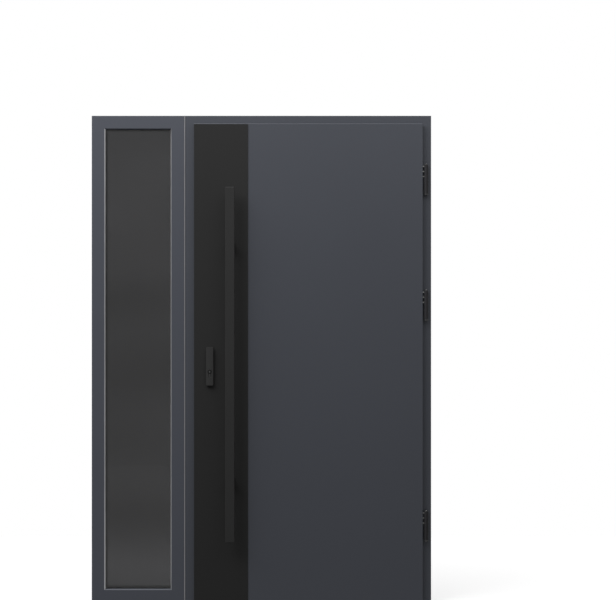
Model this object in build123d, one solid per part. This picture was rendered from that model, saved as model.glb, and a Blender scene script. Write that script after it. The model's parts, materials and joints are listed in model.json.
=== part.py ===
"""Exterior door with a glazed sidelight: rebated frame, overlapping steel leaf on three barrel hinges.

Millimetres. +X runs to the hinge side as seen from outdoors, +Y into the building and +Z up.
The origin is on the underside of the threshold, in the middle of the doorway and of the frame's depth.
"""
import os

from build123d import *

# Door frame
FRAME_HEIGHT = 2080.0
DOOR_FRAME_WIDTH = 1050.0
FRAME_DEPTH = 90.0
FRAME_FACE = 52.5
STOP_WIDTH = 20.0
FRAME_EDGE_ROUND = 1.5
ANCHOR_RADIUS = 5.25
ANCHOR_END_DISTANCE = 200.0
ANCHOR_COUNT = 4

# Threshold
THRESHOLD_HEIGHT = 20.0
THRESHOLD_CHAMFER = 8.0
GROOVE_WIDTH = 3.0
GROOVE_DEPTH = 1.5
GROOVE_PITCH = 8.0
GROOVE_COUNT = 4

# Leaf, which overlaps the front of the frame
SIDE_REVEAL = 37.5
HEAD_REVEAL = 35.0
LEAF_FLOOR_GAP = 8.0
FLANGE_GAP = 5.0
FLANGE_DEPTH = 15.0
BODY_DEPTH = 55.0
BODY_GAP = 7.0
STOP_GAP = 5.0
SHEET = 1.2
END_FOLD_RADIUS = 3.0
SIDE_FOLD = 1.0
EDGE_STRIP_DEPTH = 8.0
EDGE_STRIP_WIDTH = 12.0

# Seals
SEAL_CLEARANCE = 0.3
SEAL_WIDTH = 9.0
STOP_SEAL_INSET = 9.0
FLANGE_SEAL_INSET = 3.0
END_CLEARANCE = 0.2

# Black accent panel down the lock side
ACCENT_WIDTH = 230.0
ACCENT_THICKNESS = 2.0

# Pull handle
PULL_FROM_EDGE = 157.0
PULL_CENTRE_HEIGHT = 1020.0
PULL_LENGTH = 1500.0
PULL_WIDTH = 38.0
PULL_THICKNESS = 20.0
PULL_EDGE_BEVEL = 1.5
PULL_END_BEVEL = 2.0
POST_FROM_END = 250.0
POST_SIDE = 22.0
POST_LENGTH = 40.0
POST_FOOT_SIDE = 34.0
POST_FOOT_THICKNESS = 4.0
POST_BEVEL = 1.0

# Lock
LOCK_FROM_EDGE = 68.5
CYLINDER_HEIGHT = 988.0
CYLINDER_RADIUS = 8.5
CYLINDER_TAIL_WIDTH = 10.0
CYLINDER_TAIL_DROP = 19.5
CYLINDER_RECESS = 1.5
CYLINDER_PROUD = 2.0
CYLINDER_CLEARANCE = 0.4
ESCUTCHEON_WIDTH = 30.0
ESCUTCHEON_BOTTOM = 930.0
ESCUTCHEON_HEIGHT = 162.5
ESCUTCHEON_SIDE = 11.4
ESCUTCHEON_CROWN = 12.0
ESCUTCHEON_CORNER = 4.0
FACEPLATE_WIDTH = 24.0
FACEPLATE_LENGTH = 280.0
FACEPLATE_THICKNESS = 3.0
LATCH_WIDTH = 12.0
LATCH_HEIGHT = 20.0
LATCH_RISE = 34.0
BOLT_HEIGHT = 32.0
BOLT_DROP = 62.0
BOLT_DEPTH = 22.0
STRIKE_POCKET_DEPTH = 16.0

# Inside lever set
LEVER_RISE = 72.0
INSIDE_PLATE_WIDTH = 34.0
INSIDE_PLATE_HEIGHT = 220.0
INSIDE_PLATE_THICKNESS = 8.0
LEVER_WIDTH = 18.0
LEVER_THICKNESS = 12.0
LEVER_BEVEL = 1.5
LEVER_REACH = 46.0
LEVER_BEND = 20.0
LEVER_LENGTH = 130.0

# Hinges
UPPER_HINGE_DROP = 238.0
MIDDLE_HINGE_DROP = 536.0
LOWER_HINGE_RISE = 322.5
HINGE_OFFSET = 15.0
HINGE_RADIUS = 8.5
HINGE_HALF = 66.5
HINGE_CAP_RADIUS = 6.0
HINGE_CAP_HEIGHT = 4.0
HINGE_GROOVE = 0.8
HINGE_FOOT_RING = 6.0
HINGE_HALF_GAP = 0.3
PIN_RADIUS = 5.0
PIN_CLEARANCE = 0.05
PIN_LENGTH = 40.0
PIN_END_ROOM = 2.0
PRONG_RADIUS = 2.75
PRONG_SIDES = 8
PRONG_PITCH = 21.5
PRONG_DEPTH = 30.0
PRONG_ROOT = 2.5
PRONG_CLEARANCE = 0.1
FOOT_WIDTH = 10.0
FOOT_HEIGHT = 54.0
FOOT_PLATE_WIDTH = 15.0
FOOT_PLATE_THICKNESS = 2.0

# Sidelight
SIDELIGHT_WIDTH = 395.0
SIDELIGHT_FACE = 54.0
COUPLING_WIDTH = 5.0
COUPLING_PROUD = 1.5
LIP_DEPTH = 12.0
REBATE_FLOOR = 44.0
OUTER_BEAD = 4.0
GLASS_EDGE_GAP = 3.0
GASKET = 3.0
GASKET_INSET = 1.0
PANE = 6.0
CAVITY = 16.0
SPACER_INSET = 2.0
SPACER_WIDTH = 8.0
INNER_BEAD_BEVEL = 6.0

# Planes and edges that follow from the sizes above
FRONT = -FRAME_DEPTH / 2
BACK = FRAME_DEPTH / 2
FLANGE_BACK = FRONT - FLANGE_GAP
LEAF_FRONT = FLANGE_BACK - FLANGE_DEPTH
LEAF_BACK = FLANGE_BACK + BODY_DEPTH
STOP_FRONT = LEAF_BACK + STOP_GAP
STRIP_BACK = FLANGE_BACK + EDGE_STRIP_DEPTH
ACCENT_FRONT = LEAF_FRONT - ACCENT_THICKNESS

FRAME_RIGHT = DOOR_FRAME_WIDTH / 2
FRAME_LEFT = -FRAME_RIGHT
REBATE_RIGHT = FRAME_RIGHT - FRAME_FACE
REBATE_TOP = FRAME_HEIGHT - FRAME_FACE
STOP_RIGHT = REBATE_RIGHT - STOP_WIDTH
STOP_TOP = REBATE_TOP - STOP_WIDTH

LEAF_RIGHT = FRAME_RIGHT - SIDE_REVEAL
LEAF_LEFT = -LEAF_RIGHT
LEAF_TOP = FRAME_HEIGHT - HEAD_REVEAL
LEAF_BOTTOM = LEAF_FLOOR_GAP
BODY_RIGHT = REBATE_RIGHT - BODY_GAP
BODY_LEFT = -BODY_RIGHT
BODY_TOP = REBATE_TOP - BODY_GAP
BODY_BOTTOM = THRESHOLD_HEIGHT + BODY_GAP

LOCK_X = LEAF_LEFT + LOCK_FROM_EDGE
LOCK_EDGE_Y = (STRIP_BACK + LEAF_BACK) / 2
LATCH_Z = CYLINDER_HEIGHT + LATCH_RISE
BOLT_Z = CYLINDER_HEIGHT - BOLT_DROP
FACEPLATE_Z = (LATCH_Z + BOLT_Z) / 2
PULL_X = LEAF_LEFT + PULL_FROM_EDGE
PULL_BACK = ACCENT_FRONT - POST_LENGTH

HINGE_X = LEAF_RIGHT + HINGE_OFFSET
HINGE_Y = (LEAF_FRONT + FLANGE_BACK) / 2
UPPER_HINGE_HEIGHT = LEAF_TOP - UPPER_HINGE_DROP
HINGE_HEIGHTS = {"upper": UPPER_HINGE_HEIGHT, "middle": UPPER_HINGE_HEIGHT - MIDDLE_HINGE_DROP,
                 "lower": LEAF_BOTTOM + LOWER_HINGE_RISE}

SIDELIGHT_RIGHT = FRAME_LEFT - COUPLING_WIDTH
SIDELIGHT_LEFT = SIDELIGHT_RIGHT - SIDELIGHT_WIDTH
BEAD_EDGE = SIDELIGHT_FACE + OUTER_BEAD
LIP_BACK = FRONT + LIP_DEPTH
OUTER_PANE_Y = LIP_BACK + GASKET
CAVITY_Y = OUTER_PANE_Y + PANE
INNER_PANE_Y = CAVITY_Y + CAVITY
INNER_GASKET_Y = INNER_PANE_Y + PANE
INNER_BEAD_Y = INNER_GASKET_Y + GASKET
GLASS_EDGE = REBATE_FLOOR + GLASS_EDGE_GAP

UP, DOWN = Vector(0, 0, 1), Vector(0, 0, -1)
RIGHTWARD, LEFTWARD = Vector(1, 0, 0), Vector(-1, 0, 0)
INDOORS = Vector(0, 1, 0)


# Shared shapes

def block(x, y, z):
    """A box from its (low, high) pairs along the three axes."""
    size = [high - low for low, high in (x, y, z)]
    middle = [(low + high) / 2 for low, high in (x, y, z)]
    return Pos(*middle) * Box(*size)


def rod(start, direction, radius, length):
    """A round bar from a point along a direction."""
    return extrude(Plane(origin=start, z_dir=direction) * Circle(radius), amount=length)


def polygon(*points):
    return make_face(Polyline(*points, close=True))


def member(section, corner, along, length, mitred=(True, True), trim=0.0):
    """A section, drawn as (inward, depth), run along an outer edge, with mitred or square ends.

    Members run clockwise round their opening as seen from outdoors. Trim shortens both ends.
    """
    inward = INDOORS.cross(along)
    bar = extrude(Plane(origin=corner, x_dir=inward, z_dir=along) * section, amount=length, dir=along)
    reach = section.bounding_box().max.X
    start, end = (reach if mitre else 0.0 for mitre in mitred)
    sides = polygon((trim, 0), (length - trim, 0), (length - trim - end, reach), (trim + start, reach))
    lying = Plane(origin=corner, x_dir=along, z_dir=INDOORS)
    return bar & extrude(lying * sides, amount=2 * FRAME_DEPTH, both=True)


def ring(section, left, right, bottom, top, trim=0.0):
    """Four mitred members round a rectangle: left, top, right and bottom."""
    width, height = right - left, top - bottom
    return [member(section, (left, 0, bottom), UP, height, trim=trim),
            member(section, (left, 0, top), RIGHTWARD, width, trim=trim),
            member(section, (right, 0, top), DOWN, height, trim=trim),
            member(section, (right, 0, bottom), LEFTWARD, width, trim=trim)]


def euro_profile(grow=0.0):
    """The outline of a profile cylinder, drawn round the middle of its plug."""
    tail = Pos(0, -CYLINDER_TAIL_DROP / 2) * Rectangle(CYLINDER_TAIL_WIDTH + 2 * grow, CYLINDER_TAIL_DROP)
    foot = Pos(0, -CYLINDER_TAIL_DROP) * Circle(CYLINDER_TAIL_WIDTH / 2 + grow)
    return Circle(CYLINDER_RADIUS + grow) + tail + foot


def cylinder_body(start, end, grow=0.0):
    """The profile cylinder between two depths."""
    plane = Plane(origin=(LOCK_X, start, CYLINDER_HEIGHT), x_dir=RIGHTWARD, z_dir=-INDOORS)
    return extrude(plane * euro_profile(grow), amount=end - start, dir=INDOORS)


def bulb(inset, seat, height):
    """A seal section: a D of the seal's width that stands out from a flat seat."""
    middle = inset + SEAL_WIDTH / 2
    crown = ThreePointArc((inset, seat), (middle, seat + height), (inset + SEAL_WIDTH, seat))
    return make_face([crown, Line((inset + SEAL_WIDTH, seat), (inset, seat))])


# Door frame

def frame_section():
    """A door frame member: its face, the rebate for the leaf and the stop behind it."""
    stop = FRAME_FACE + STOP_WIDTH
    section = polygon((0, FRONT), (FRAME_FACE, FRONT), (FRAME_FACE, STOP_FRONT), (stop, STOP_FRONT),
                      (stop, BACK), (0, BACK))
    front = section.vertices().group_by(Axis.Y)[0]
    inner = section.vertices().group_by(Axis.X)[-1]
    return fillet(front + inner, FRAME_EDGE_ROUND)


def lock_window(height, tall, x, clearance):
    """A hole along X for the latch or the bolt, on the lock edge."""
    half_width = LATCH_WIDTH / 2 + clearance
    half_height = tall / 2 + clearance
    return block(x, (LOCK_EDGE_Y - half_width, LOCK_EDGE_Y + half_width),
                 (height - half_height, height + half_height))


def lock_windows(x, clearance):
    return (lock_window(LATCH_Z, LATCH_HEIGHT, x, clearance)
            + lock_window(BOLT_Z, BOLT_HEIGHT, x, clearance))


def round_ended_plate(x, grow=0.0):
    """The outline of the lock's edge plates, with round ends, between two places along X."""
    plane = Plane(origin=(x[0], LOCK_EDGE_Y, FACEPLATE_Z), x_dir=UP, z_dir=RIGHTWARD)
    outline = SlotOverall(FACEPLATE_LENGTH + 2 * grow, FACEPLATE_WIDTH + 2 * grow)
    return extrude(plane * outline, amount=x[1] - x[0])


def hinge_jamb():
    jamb = member(frame_section(), (FRAME_RIGHT, 0, FRAME_HEIGHT), DOWN, FRAME_HEIGHT, mitred=(True, False))
    middle_of_stop = (STOP_FRONT + BACK) / 2
    pitch = (FRAME_HEIGHT - 2 * ANCHOR_END_DISTANCE) / (ANCHOR_COUNT - 1)
    for index in range(ANCHOR_COUNT):
        start = (STOP_RIGHT, middle_of_stop, ANCHOR_END_DISTANCE + index * pitch)
        jamb -= rod(start, RIGHTWARD, ANCHOR_RADIUS, FRAME_RIGHT - STOP_RIGHT)
    return jamb


def lock_jamb():
    jamb = member(frame_section(), (FRAME_LEFT, 0, 0), UP, FRAME_HEIGHT, mitred=(False, True))
    rebate = -REBATE_RIGHT
    jamb -= round_ended_plate((rebate - FACEPLATE_THICKNESS, rebate))
    pockets = (rebate - FACEPLATE_THICKNESS - STRIKE_POCKET_DEPTH, rebate - FACEPLATE_THICKNESS)
    return jamb - lock_windows(pockets, CYLINDER_CLEARANCE)


def frame_head():
    return member(frame_section(), (FRAME_LEFT, 0, FRAME_HEIGHT), RIGHTWARD, DOOR_FRAME_WIDTH)


def strike_plate():
    rebate = -REBATE_RIGHT
    plate = round_ended_plate((rebate - FACEPLATE_THICKNESS, rebate))
    return plate - lock_windows((rebate - FACEPLATE_THICKNESS, rebate), CYLINDER_CLEARANCE)


def threshold():
    """A low sill between the jambs, with a sloped nose and grooves along its tread."""
    nose = THRESHOLD_HEIGHT - THRESHOLD_CHAMFER
    face = polygon((FRONT, 0), (BACK, 0), (BACK, THRESHOLD_HEIGHT),
                   (FRONT + THRESHOLD_CHAMFER, THRESHOLD_HEIGHT), (FRONT, nose))
    for index in range(GROOVE_COUNT):
        depth = BACK - GROOVE_PITCH * (index + 1)
        face -= Pos(depth, THRESHOLD_HEIGHT) * Rectangle(GROOVE_WIDTH, 2 * GROOVE_DEPTH)
    across = Plane(origin=(-REBATE_RIGHT, 0, 0), x_dir=INDOORS, z_dir=RIGHTWARD)
    sill = extrude(across * face, amount=2 * REBATE_RIGHT)
    behind, tall = (STOP_FRONT, BACK), (0, THRESHOLD_HEIGHT)
    for side in ((-REBATE_RIGHT, -STOP_RIGHT), (STOP_RIGHT, REBATE_RIGHT)):
        sill -= block(side, behind, tall)
    return sill


def frame_seals():
    """Bulb seals on the stops of the jambs and the head."""
    section = bulb(FRAME_FACE + STOP_SEAL_INSET, STOP_FRONT, -(STOP_GAP - SEAL_CLEARANCE))
    run = FRAME_HEIGHT - THRESHOLD_HEIGHT
    seals = [member(section, (FRAME_LEFT, 0, THRESHOLD_HEIGHT), UP, run, (False, True), END_CLEARANCE),
             member(section, (FRAME_LEFT, 0, FRAME_HEIGHT), RIGHTWARD, DOOR_FRAME_WIDTH, trim=END_CLEARANCE),
             member(section, (FRAME_RIGHT, 0, FRAME_HEIGHT), DOWN, run, (True, False), END_CLEARANCE)]
    return Compound(seals)


# Sidelight

def sidelight_section():
    """A sidelight member: its face, the lip in front of the glass and the rebate behind it."""
    section = polygon((0, FRONT), (SIDELIGHT_FACE, FRONT), (SIDELIGHT_FACE, LIP_BACK),
                      (REBATE_FLOOR, LIP_BACK), (REBATE_FLOOR, BACK), (0, BACK))
    outer = section.vertices().group_by(Axis.X)[0]
    return fillet(outer, FRAME_EDGE_ROUND)


def sidelight_ring(section, trim=0.0):
    return ring(section, SIDELIGHT_LEFT, SIDELIGHT_RIGHT, 0, FRAME_HEIGHT, trim)


def outer_bead_section():
    """A bevelled bead along the inner edge of the lip."""
    return polygon((SIDELIGHT_FACE, FRONT), (BEAD_EDGE, FRONT + OUTER_BEAD), (BEAD_EDGE, LIP_BACK),
                   (SIDELIGHT_FACE, LIP_BACK))


def gasket_section(depth):
    low, high = GLASS_EDGE + GASKET_INSET, BEAD_EDGE - GASKET_INSET
    return polygon((low, depth), (high, depth), (high, depth + GASKET), (low, depth + GASKET))


def inner_bead_section():
    """The bead that holds the glass from indoors, with a bevelled edge."""
    return polygon((REBATE_FLOOR, INNER_BEAD_Y), (BEAD_EDGE, INNER_BEAD_Y),
                   (BEAD_EDGE, BACK - INNER_BEAD_BEVEL), (BEAD_EDGE - INNER_BEAD_BEVEL, BACK),
                   (REBATE_FLOOR, BACK))


def pane(depth):
    return block((SIDELIGHT_LEFT + GLASS_EDGE, SIDELIGHT_RIGHT - GLASS_EDGE), (depth, depth + PANE),
                 (GLASS_EDGE, FRAME_HEIGHT - GLASS_EDGE))


def glass_spacer():
    low = GLASS_EDGE + SPACER_INSET
    high = low + SPACER_WIDTH
    section = polygon((low, CAVITY_Y), (high, CAVITY_Y), (high, INNER_PANE_Y), (low, INNER_PANE_Y))
    return Compound(sidelight_ring(section, END_CLEARANCE))


def coupling_strip():
    """The cover strip that closes the joint between the sidelight and the door frame."""
    left, right = SIDELIGHT_RIGHT, FRAME_LEFT
    crown = ThreePointArc((left, FRONT), ((left + right) / 2, FRONT - COUPLING_PROUD), (right, FRONT))
    sides = Polyline((right, FRONT), (right, BACK), (left, BACK), (left, FRONT))
    return extrude(make_face([crown, sides]), amount=FRAME_HEIGHT, dir=UP)


# Leaf

def leaf_outer_skin():
    """The outdoor sheet, folded round the overlapping flange and back in behind it."""
    tray = block((LEAF_LEFT, LEAF_RIGHT), (LEAF_FRONT, FLANGE_BACK), (LEAF_BOTTOM, LEAF_TOP))
    tray = fillet(tray.faces().sort_by(Axis.Y)[0].edges().filter_by(Axis.X), END_FOLD_RADIUS)
    tray = chamfer(tray.faces().sort_by(Axis.Y)[0].edges().filter_by(Axis.Z), SIDE_FOLD)
    tray -= block((LEAF_LEFT + SHEET, LEAF_RIGHT - SHEET), (LEAF_FRONT + SHEET, FLANGE_BACK - SHEET),
                  (LEAF_BOTTOM + SHEET, LEAF_TOP - SHEET))
    tray -= core_neck((FLANGE_BACK - SHEET, FLANGE_BACK))
    tray -= cylinder_body(LEAF_FRONT, FLANGE_BACK, CYLINDER_CLEARANCE)
    for height in HINGE_HEIGHTS.values():
        tray -= [prong(level, PRONG_CLEARANCE) for level in prong_heights(height)]
    return tray


def core_neck(depths):
    """The middle of the leaf, inside its edge strips."""
    inset = EDGE_STRIP_WIDTH
    return block((BODY_LEFT + inset, BODY_RIGHT - inset), depths, (BODY_BOTTOM + inset, BODY_TOP - inset))


def leaf_inner_skin():
    """The indoor sheet, with its edges folded forward to the edge strips."""
    tray = block((BODY_LEFT, BODY_RIGHT), (STRIP_BACK, LEAF_BACK), (BODY_BOTTOM, BODY_TOP))
    tray = chamfer(tray.faces().sort_by(Axis.Y)[-1].edges(), SIDE_FOLD)
    tray -= block((BODY_LEFT + SHEET, BODY_RIGHT - SHEET), (STRIP_BACK, LEAF_BACK - SHEET),
                  (BODY_BOTTOM + SHEET, BODY_TOP - SHEET))
    tray -= cylinder_body(STRIP_BACK, LEAF_BACK, CYLINDER_CLEARANCE)
    return tray - faceplate_seat()


def leaf_core():
    """The insulation that fills both sheets."""
    core = block((LEAF_LEFT + SHEET, LEAF_RIGHT - SHEET), (LEAF_FRONT + SHEET, FLANGE_BACK - SHEET),
                 (LEAF_BOTTOM + SHEET, LEAF_TOP - SHEET))
    core += core_neck((FLANGE_BACK - SHEET, STRIP_BACK))
    core += block((BODY_LEFT + SHEET, BODY_RIGHT - SHEET), (STRIP_BACK, LEAF_BACK - SHEET),
                  (BODY_BOTTOM + SHEET, BODY_TOP - SHEET))
    core -= cylinder_body(LEAF_FRONT, LEAF_BACK, CYLINDER_CLEARANCE)
    core -= faceplate_seat()
    core -= lock_windows((BODY_LEFT, BODY_LEFT + FACEPLATE_THICKNESS + BOLT_DEPTH), CYLINDER_CLEARANCE)
    for height in HINGE_HEIGHTS.values():
        levels = prong_heights(height)
        reach = PRONG_RADIUS + PRONG_CLEARANCE
        core -= block((LEAF_RIGHT - PRONG_DEPTH, LEAF_RIGHT), (HINGE_Y - reach, HINGE_Y + reach),
                      (levels[0] - reach, levels[-1] + reach))
    return core


def leaf_edge_strips():
    """Insulating strips round the leaf's edge, between its two sheets."""
    section = polygon((0, FLANGE_BACK), (EDGE_STRIP_WIDTH, FLANGE_BACK), (EDGE_STRIP_WIDTH, STRIP_BACK),
                      (0, STRIP_BACK))
    return Compound(ring(section, BODY_LEFT, BODY_RIGHT, BODY_BOTTOM, BODY_TOP, END_CLEARANCE))


def leaf_seals():
    """Bulb seals behind the flange, and a sweep under the leaf."""
    section = bulb(FLANGE_SEAL_INSET, FLANGE_BACK, FLANGE_GAP - SEAL_CLEARANCE)
    width, height = LEAF_RIGHT - LEAF_LEFT, LEAF_TOP - LEAF_BOTTOM
    seals = [member(section, (LEAF_LEFT, 0, LEAF_BOTTOM), UP, height, (False, True), END_CLEARANCE),
             member(section, (LEAF_LEFT, 0, LEAF_TOP), RIGHTWARD, width, trim=END_CLEARANCE),
             member(section, (LEAF_RIGHT, 0, LEAF_TOP), DOWN, height, (True, False), END_CLEARANCE),
             block((BODY_LEFT, BODY_RIGHT), (LOCK_EDGE_Y - SEAL_WIDTH / 2, LOCK_EDGE_Y + SEAL_WIDTH / 2),
                   (THRESHOLD_HEIGHT + SEAL_CLEARANCE, BODY_BOTTOM))]
    return Compound(seals)


def accent_panel():
    left = LEAF_LEFT + SIDE_FOLD
    panel = block((left, left + ACCENT_WIDTH), (ACCENT_FRONT, LEAF_FRONT),
                  (LEAF_BOTTOM + END_FOLD_RADIUS, LEAF_TOP - END_FOLD_RADIUS))
    return panel - cylinder_body(ACCENT_FRONT, LEAF_FRONT, CYLINDER_CLEARANCE)


# Pull handle

def pull_bar():
    half = PULL_LENGTH / 2
    bar = block((PULL_X - PULL_WIDTH / 2, PULL_X + PULL_WIDTH / 2), (PULL_BACK - PULL_THICKNESS, PULL_BACK),
                (PULL_CENTRE_HEIGHT - half, PULL_CENTRE_HEIGHT + half))
    bar = chamfer(bar.edges().filter_by(Axis.Z), PULL_EDGE_BEVEL)
    ends = bar.faces().sort_by(Axis.Z)
    return chamfer(ends[0].edges() + ends[-1].edges(), PULL_END_BEVEL)


def pull_post(height):
    """A square post with a wider foot, from the accent panel to the bar."""
    foot_front = ACCENT_FRONT - POST_FOOT_THICKNESS
    half, half_foot = POST_SIDE / 2, POST_FOOT_SIDE / 2
    foot = block((PULL_X - half_foot, PULL_X + half_foot), (foot_front, ACCENT_FRONT),
                 (height - half_foot, height + half_foot))
    foot = chamfer(foot.faces().sort_by(Axis.Y)[0].edges(), POST_BEVEL)
    post = block((PULL_X - half, PULL_X + half), (PULL_BACK, foot_front), (height - half, height + half))
    return foot + chamfer(post.edges().filter_by(Axis.Y), POST_BEVEL)


# Lock and inside lever

def outer_escutcheon():
    """A tall plate with a slightly crowned front round the cylinder."""
    half, side = ESCUTCHEON_WIDTH / 2, ACCENT_FRONT - ESCUTCHEON_SIDE
    crown = ThreePointArc((half, side), (0, ACCENT_FRONT - ESCUTCHEON_CROWN), (-half, side))
    sides = Polyline((-half, side), (-half, ACCENT_FRONT), (half, ACCENT_FRONT), (half, side))
    foot = Pos(LOCK_X, 0, ESCUTCHEON_BOTTOM)
    bar = extrude(foot * make_face([crown, sides]), amount=ESCUTCHEON_HEIGHT, dir=UP)
    middle = (LOCK_X, ACCENT_FRONT, ESCUTCHEON_BOTTOM + ESCUTCHEON_HEIGHT / 2)
    outline = RectangleRounded(ESCUTCHEON_WIDTH, ESCUTCHEON_HEIGHT, ESCUTCHEON_CORNER)
    facing = Plane(origin=middle, x_dir=RIGHTWARD, z_dir=-INDOORS)
    plate = bar & extrude(facing * outline, amount=ESCUTCHEON_CROWN)
    return plate - cylinder_body(ACCENT_FRONT - ESCUTCHEON_CROWN, ACCENT_FRONT, CYLINDER_CLEARANCE)


def lock_cylinder():
    return cylinder_body(ACCENT_FRONT - ESCUTCHEON_CROWN + CYLINDER_RECESS,
                         LEAF_BACK + INSIDE_PLATE_THICKNESS + CYLINDER_PROUD)


def faceplate_seat():
    return round_ended_plate((BODY_LEFT, BODY_LEFT + FACEPLATE_THICKNESS))


def lock_faceplate():
    return faceplate_seat() - lock_windows((BODY_LEFT, BODY_LEFT + FACEPLATE_THICKNESS), CYLINDER_CLEARANCE)


def lock_bolts():
    """The latch and the bolt, drawn back level with the faceplate."""
    depth = (BODY_LEFT, BODY_LEFT + FACEPLATE_THICKNESS + BOLT_DEPTH)
    latch = lock_window(LATCH_Z, LATCH_HEIGHT, depth, 0)
    nose = latch.faces().sort_by(Axis.X)[0].edges().filter_by(Axis.Z).sort_by(Axis.Y)[-1]
    latch = chamfer(nose, LATCH_WIDTH / 3)
    return Compound([latch, lock_window(BOLT_Z, BOLT_HEIGHT, depth, 0)])


def inside_plate():
    """A plate round the lever and the cylinder, with a bevelled front edge."""
    half_width, half_height = INSIDE_PLATE_WIDTH / 2, INSIDE_PLATE_HEIGHT / 2
    middle = CYLINDER_HEIGHT + LEVER_RISE / 2
    plate = block((LOCK_X - half_width, LOCK_X + half_width), (LEAF_BACK, LEAF_BACK + INSIDE_PLATE_THICKNESS),
                  (middle - half_height, middle + half_height))
    plate = chamfer(plate.faces().sort_by(Axis.Y)[-1].edges(), INSIDE_PLATE_THICKNESS / 4)
    return plate - cylinder_body(LEAF_BACK, LEAF_BACK + INSIDE_PLATE_THICKNESS, CYLINDER_CLEARANCE)


def inside_lever():
    """A flat lever that comes out of the plate and bends towards the hinges."""
    seat, height = LEAF_BACK + INSIDE_PLATE_THICKNESS, CYLINDER_HEIGHT + LEVER_RISE
    start = (LOCK_X, seat, height)
    corner = (LOCK_X, seat + LEVER_REACH, height)
    end = (LOCK_X + LEVER_LENGTH, seat + LEVER_REACH, height)
    path = FilletPolyline(start, corner, end, radius=LEVER_BEND)
    section = Rectangle(LEVER_THICKNESS, LEVER_WIDTH)
    section = chamfer(section.vertices(), LEVER_BEVEL)
    lever = sweep(Plane(origin=start, x_dir=RIGHTWARD, z_dir=INDOORS) * section, path=path)
    return chamfer(lever.faces().sort_by(Axis.X)[-1].edges(), LEVER_BEVEL)


# Hinges

def prong_heights(height):
    middle = height + (HINGE_HALF_GAP + HINGE_HALF) / 2
    return [middle + step * PRONG_PITCH for step in (-1, 0, 1)]


def prong(level, grow=0.0):
    """An eight-sided prong from the barrel into the edge of the leaf."""
    root = (HINGE_X - HINGE_RADIUS + PRONG_ROOT, HINGE_Y, level)
    section = RegularPolygon(PRONG_RADIUS + grow, PRONG_SIDES)
    return extrude(Plane(origin=root, z_dir=LEFTWARD) * section, amount=root[0] - LEAF_RIGHT + PRONG_DEPTH)


def turned(outline):
    """A piece turned round the hinge axis, from its (radius, height) outline."""
    return Pos(HINGE_X, HINGE_Y, 0) * revolve(Plane.XZ * outline, Axis.Z)


def hinge_leaf_half(height):
    """The upper knuckle with its cap, bored for the pin, and three prongs into the edge of the leaf."""
    bottom = height + HINGE_HALF_GAP / 2
    top = bottom + HINGE_HALF
    shoulder = top - HINGE_CAP_HEIGHT
    cap, bevel = HINGE_CAP_RADIUS, HINGE_RADIUS - HINGE_CAP_RADIUS
    bore, bore_end = PIN_RADIUS + PIN_CLEARANCE, bottom + PIN_LENGTH + PIN_END_ROOM
    half = turned(polygon((bore, bottom), (HINGE_RADIUS, bottom), (HINGE_RADIUS, shoulder), (cap, shoulder),
                          (cap, top - bevel), (cap - bevel, top), (0, top), (0, bore_end), (bore, bore_end)))
    for level in prong_heights(height):
        half += prong(level)
    return half


def hinge_frame_half(height):
    """The lower knuckle, with a ring at its foot, its pin and a foot on the jamb."""
    top = height - HINGE_HALF_GAP / 2
    bottom = top - HINGE_HALF
    ring_top = bottom + HINGE_FOOT_RING
    groove_top = ring_top + HINGE_GROOVE
    barrel, neck = HINGE_RADIUS, HINGE_RADIUS - HINGE_GROOVE
    pin, pin_top = PIN_RADIUS, top + PIN_LENGTH
    half = turned(polygon((0, bottom), (barrel, bottom), (barrel, ring_top), (neck, ring_top),
                          (neck, groove_top), (barrel, groove_top), (barrel, top), (pin, top),
                          (pin, pin_top), (0, pin_top)))
    middle = (top + ring_top) / 2
    tall = (middle - FOOT_HEIGHT / 2, middle + FOOT_HEIGHT / 2)
    half += block((HINGE_X - FOOT_WIDTH / 2, HINGE_X + FOOT_WIDTH / 2), (HINGE_Y, FRONT), tall)
    half += block((HINGE_X - FOOT_PLATE_WIDTH / 2, HINGE_X + FOOT_PLATE_WIDTH / 2),
                  (FRONT - FOOT_PLATE_THICKNESS, FRONT), tall)
    return half


# The named pieces

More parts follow.
